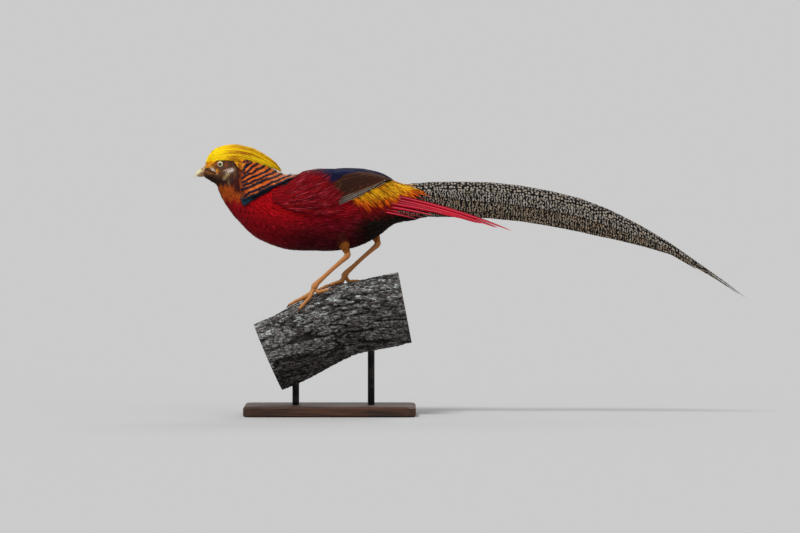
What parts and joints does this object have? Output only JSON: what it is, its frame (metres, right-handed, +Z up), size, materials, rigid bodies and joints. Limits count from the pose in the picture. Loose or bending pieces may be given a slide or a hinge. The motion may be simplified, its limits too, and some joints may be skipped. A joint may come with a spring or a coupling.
{
  "type": "golden pheasant model",
  "caption": "Still, life-size golden pheasant with a silky crest, barred cape and long netted tail, gripping a short sloping bough on a flat stand.",
  "frame": {"origin": "centre of the flat underside of the stand's base, on the floor", "axes": "+Z up, -X the way the bird faces, so +X towards the tail's tip, -Y the bird's left side"},
  "size_m": [0.9624, 0.19, 0.4722],
  "materials": {
    "body_feathers": "soft, overlapping body feathers",
    "cape_feathers": "broad square-ended cape feathers with a satin sheen",
    "head_feathers": "silky hair-like crest feathers over short face feathers",
    "tail_feathers": "long vaned feathers, netted pattern",
    "wing_feathers": "firm folded flight feathers",
    "thigh_feathers": "short downy feathers",
    "leg_scales": "dry horny scutes",
    "bill_horn": "smooth horn",
    "eye_glass": "polished",
    "claw_horn": "worn horn",
    "perch_wood": "rough furrowed bark with sawn ends",
    "stand_wood": "dark oiled wood",
    "stand_steel": "satin black"
  },
  "bodies": {
    "root": {"torso": "body_feathers", "neck": "cape_feathers", "head": "head_feathers", "tail": "tail_feathers", "wing_left": "wing_feathers", "wing_right": "wing_feathers", "thigh_left": "thigh_feathers", "thigh_right": "thigh_feathers", "shank_left": "leg_scales", "foot_left": "leg_scales", "shank_right": "leg_scales", "foot_right": "leg_scales", "bill_upper": "bill_horn", "bill_lower": "bill_horn", "eye_left": "eye_glass", "eye_right": "eye_glass", "claw_left_middle": "claw_horn", "claw_left_outer": "claw_horn", "claw_left_inner": "claw_horn", "claw_left_hind": "claw_horn", "claw_right_middle": "claw_horn", "claw_right_outer": "claw_horn", "claw_right_inner": "claw_horn", "claw_right_hind": "claw_horn", "perch_branch": "perch_wood", "stand_base": "stand_wood", "stand_rod_front": "stand_steel", "stand_rod_back": "stand_steel"}
  },
  "joints": []
}
